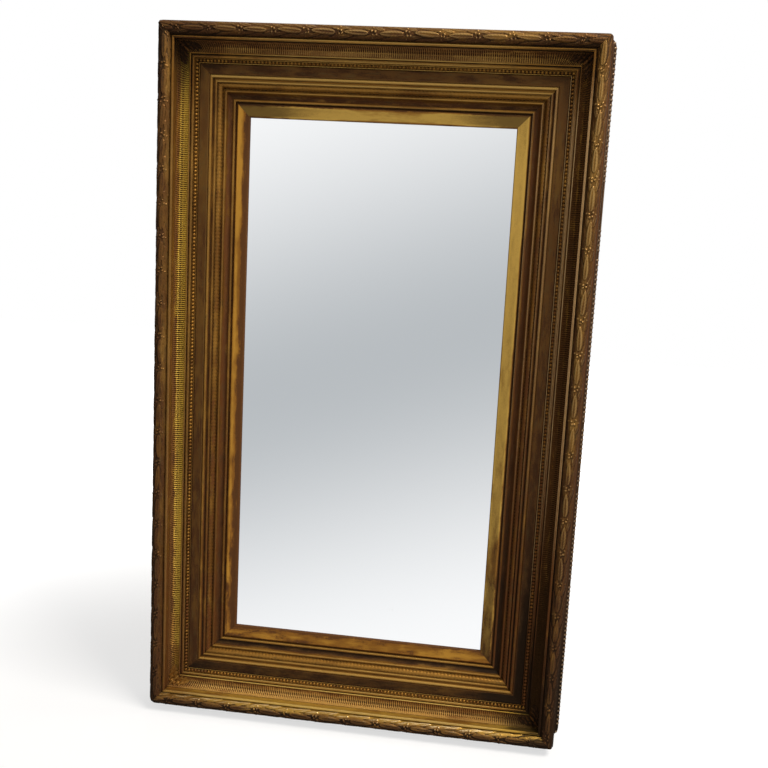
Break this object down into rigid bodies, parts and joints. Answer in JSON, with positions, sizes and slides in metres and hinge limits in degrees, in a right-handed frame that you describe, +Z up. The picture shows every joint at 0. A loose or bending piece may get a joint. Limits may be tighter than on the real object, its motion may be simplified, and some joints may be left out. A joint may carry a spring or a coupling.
{
  "type": "pier mirror",
  "caption": "Tall rectangular wall mirror in a deep gilt frame with a garland torus, fluted floor, pearl course, beaded edge and two swinging hanger rings on the back.",
  "frame": {"origin": "under the middle of the frame, at the level of its lowest edge, midway between the front crest and the back plane", "axes": "+Z up, +X to the viewer's right, the mirror faces -Y and its back plane, which lies on the wall, faces +Y"},
  "size_m": [0.9982, 0.1219, 1.6022],
  "materials": {
    "silvered_glass": "silvered plate glass",
    "burnished_gilt": "burnished leaf over gesso on softwood, rubbed through",
    "aged_gilt": "aged leaf over gesso and composition on softwood",
    "dark_gilt": "toned, nearly bare leaf over dark bole",
    "pine": "planed pine, aged",
    "old_pine": "thin sawn pine, dusty",
    "steel": "dull steel with light rust",
    "brass": "tarnished brass"
  },
  "bodies": {
    "frame": {"silvered_plate": "silvered_glass", "gilt_slip_bottom": "burnished_gilt", "gilt_slip_left": "burnished_gilt", "gilt_slip_top": "burnished_gilt", "gilt_slip_right": "burnished_gilt", "inner_moulding_bottom": "aged_gilt", "inner_moulding_left": "aged_gilt", "inner_moulding_top": "aged_gilt", "inner_moulding_right": "aged_gilt", "frieze_moulding_bottom": "dark_gilt", "frieze_moulding_left": "dark_gilt", "frieze_moulding_top": "dark_gilt", "frieze_moulding_right": "dark_gilt", "outer_moulding_bottom": "aged_gilt", "outer_moulding_left": "aged_gilt", "outer_moulding_top": "aged_gilt", "outer_moulding_right": "aged_gilt", "edge_strip_bottom": "dark_gilt", "edge_strip_left": "dark_gilt", "edge_strip_top": "dark_gilt", "edge_strip_right": "dark_gilt", "corner_leaf_lower_left": "aged_gilt", "corner_leaf_lower_right": "aged_gilt", "corner_leaf_upper_left": "aged_gilt", "corner_leaf_upper_right": "aged_gilt", "back_frame_bottom": "pine", "back_frame_left": "pine", "back_frame_top": "pine", "back_frame_right": "pine", "lap_screw_lower_left": "steel", "lap_screw_lower_right": "steel", "lap_screw_upper_left": "steel", "lap_screw_upper_right": "steel", "backboard_1": "old_pine", "backboard_2": "old_pine", "backboard_3": "old_pine", "backboard_screw_1_left": "steel", "backboard_screw_1_right": "steel", "backboard_screw_2_left": "steel", "backboard_screw_2_right": "steel", "backboard_screw_3_left": "steel", "backboard_screw_3_right": "steel", "glazing_block_bottom_1": "pine", "glazing_block_left_1": "pine", "glazing_block_left_2": "pine", "glazing_block_top_1": "pine", "glazing_block_right_1": "pine", "glazing_block_right_2": "pine", "strap_hanger_left": "brass", "hanger_screw_left_1": "brass", "hanger_screw_left_2": "brass", "strap_hanger_right": "brass", "hanger_screw_right_1": "brass", "hanger_screw_right_2": "brass"},
    "left_ring": {"hanger_ring_left": "brass"},
    "right_ring": {"hanger_ring_right": "brass"}
  },
  "joints": [
    {"name": "left_ring_swing", "type": "hinge", "parent": "frame", "child": "left_ring", "pos_m": [-0.417, 0.0563, 1.2211], "axis": [1, 0, 0], "range_deg": [0, 180]},
    {"name": "right_ring_swing", "type": "hinge", "parent": "frame", "child": "right_ring", "pos_m": [0.417, 0.0563, 1.2211], "axis": [1, 0, 0], "range_deg": [0, 180]}
  ]
}
